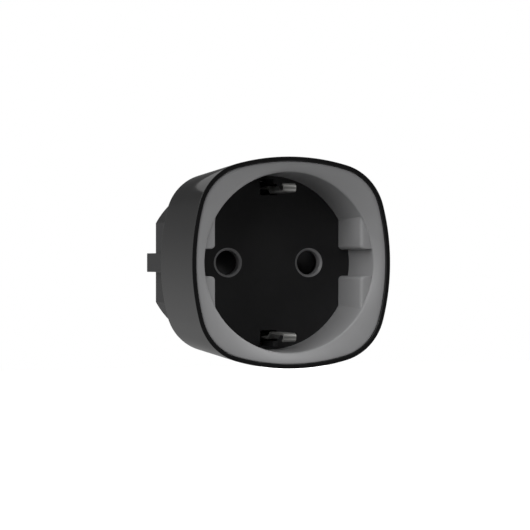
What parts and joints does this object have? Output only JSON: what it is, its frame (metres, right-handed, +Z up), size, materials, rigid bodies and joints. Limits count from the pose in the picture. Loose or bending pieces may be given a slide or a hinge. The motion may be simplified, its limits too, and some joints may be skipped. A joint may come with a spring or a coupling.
{
  "type": "smart plug",
  "caption": "Compact plug-in smart socket adaptor: rounded-square black body, grey light ring around a recessed earthed socket, and an earthed round-pin plug on its back.",
  "frame": {"origin": "centre of the plug body's rear face, midway between the two plug pins", "axes": "+X to the right seen from the front, +Y into the wall along the plug pins, +Z up; the socket faces -Y"},
  "size_m": [0.0452, 0.0655, 0.0452],
  "materials": {
    "shell_plastic": "satin-gloss moulded black",
    "ring_diffuser": "smoke-grey translucent diffuser, satin",
    "socket_plastic": "fine matt black",
    "plug_plastic": "satin black",
    "pin_nickel": "nickel plated",
    "earth_metal": "tin plated spring strip",
    "inner_plastic": "moulded black",
    "steel": "plain steel",
    "contact_brass": "drawn brass",
    "copper_alloy": "stamped copper alloy",
    "shunt_alloy": "matt resistance alloy",
    "circuit_board": "solder mask",
    "component_plastic": "moulded",
    "copper_wire": "enamelled copper winding",
    "ferrite": "sintered grey",
    "capacitor_sleeve": "shrink sleeve",
    "filter_case": "moulded yellow",
    "varistor_coating": "dipped epoxy",
    "fuse_coating": "cement",
    "lamp_resin": "clear resin over phosphor"
  },
  "bodies": {
    "housing": {"outer_shell": "shell_plastic", "light_ring": "ring_diffuser", "socket_floor": "socket_plastic", "plug_body": "plug_plastic", "plug_pin_left": "pin_nickel", "plug_pin_right": "pin_nickel", "earth_strap_top": "earth_metal", "earth_strap_bottom": "earth_metal", "earth_bridge": "earth_metal", "shutter_spring": "steel", "contact_carrier": "inner_plastic", "live_receptacle": "contact_brass", "neutral_receptacle": "contact_brass", "live_in_strap": "copper_alloy", "live_out_strap": "copper_alloy", "neutral_busbar": "copper_alloy", "current_shunt": "shunt_alloy", "main_board": "circuit_board", "relay_base": "component_plastic", "relay_cover": "component_plastic", "relay_coil": "copper_wire", "relay_yoke": "steel", "relay_terminals": "copper_alloy", "transformer_core": "ferrite", "transformer_winding": "copper_wire", "bulk_capacitor": "capacitor_sleeve", "filter_capacitor": "filter_case", "varistor": "varistor_coating", "input_fuse": "fuse_coating", "radio_board": "circuit_board", "radio_shield": "steel", "antenna": "copper_alloy", "led_board": "circuit_board", "status_leds": "lamp_resin", "board_link": "component_plastic", "carrier_screws": "steel", "led_board_screws": "steel", "main_board_screws": "steel"},
    "shutter": {"shutter": "inner_plastic"},
    "earth_finger_top": {"earth_finger_top": "earth_metal"},
    "earth_finger_bottom": {"earth_finger_bottom": "earth_metal"},
    "relay_armature": {"relay_armature": "steel"},
    "relay_blade": {"relay_blade": "copper_alloy"}
  },
  "joints": [
    {"name": "shutter_turn", "type": "hinge", "parent": "housing", "child": "shutter", "pos_m": [0, -0.027, 0], "axis": [0, -1, 0], "range_deg": [0, 38], "stiffness_Nm_per_rad": 0.002, "springref_deg": -28.65, "deforming": ["shutter_spring"]},
    {"name": "earth_finger_top_flex", "type": "hinge", "parent": "housing", "child": "earth_finger_top", "pos_m": [0, -0.0303, 0.01645], "axis": [-1, 0, 0], "range_deg": [0, 6.5], "stiffness_Nm_per_rad": 0.3},
    {"name": "earth_finger_bottom_flex", "type": "hinge", "parent": "housing", "child": "earth_finger_bottom", "pos_m": [0, -0.0303, -0.01645], "axis": [1, 0, 0], "range_deg": [0, 6.5], "stiffness_Nm_per_rad": 0.3},
    {"name": "relay_pull_in", "type": "hinge", "parent": "housing", "child": "relay_armature", "pos_m": [-0.00835, -0.0043, 0.0092], "axis": [0, 0, -1], "range_deg": [0, 4], "stiffness_Nm_per_rad": 0.02},
    {"name": "relay_contact_close", "type": "hinge", "parent": "housing", "child": "relay_blade", "pos_m": [0.0082, -0.0056, 0.0092], "axis": [0, 0, 1], "range_deg": [0, 8]}
  ],
  "couplings": [
    {"joint": "relay_contact_close", "follows": "relay_pull_in", "ratio": 2}
  ]
}
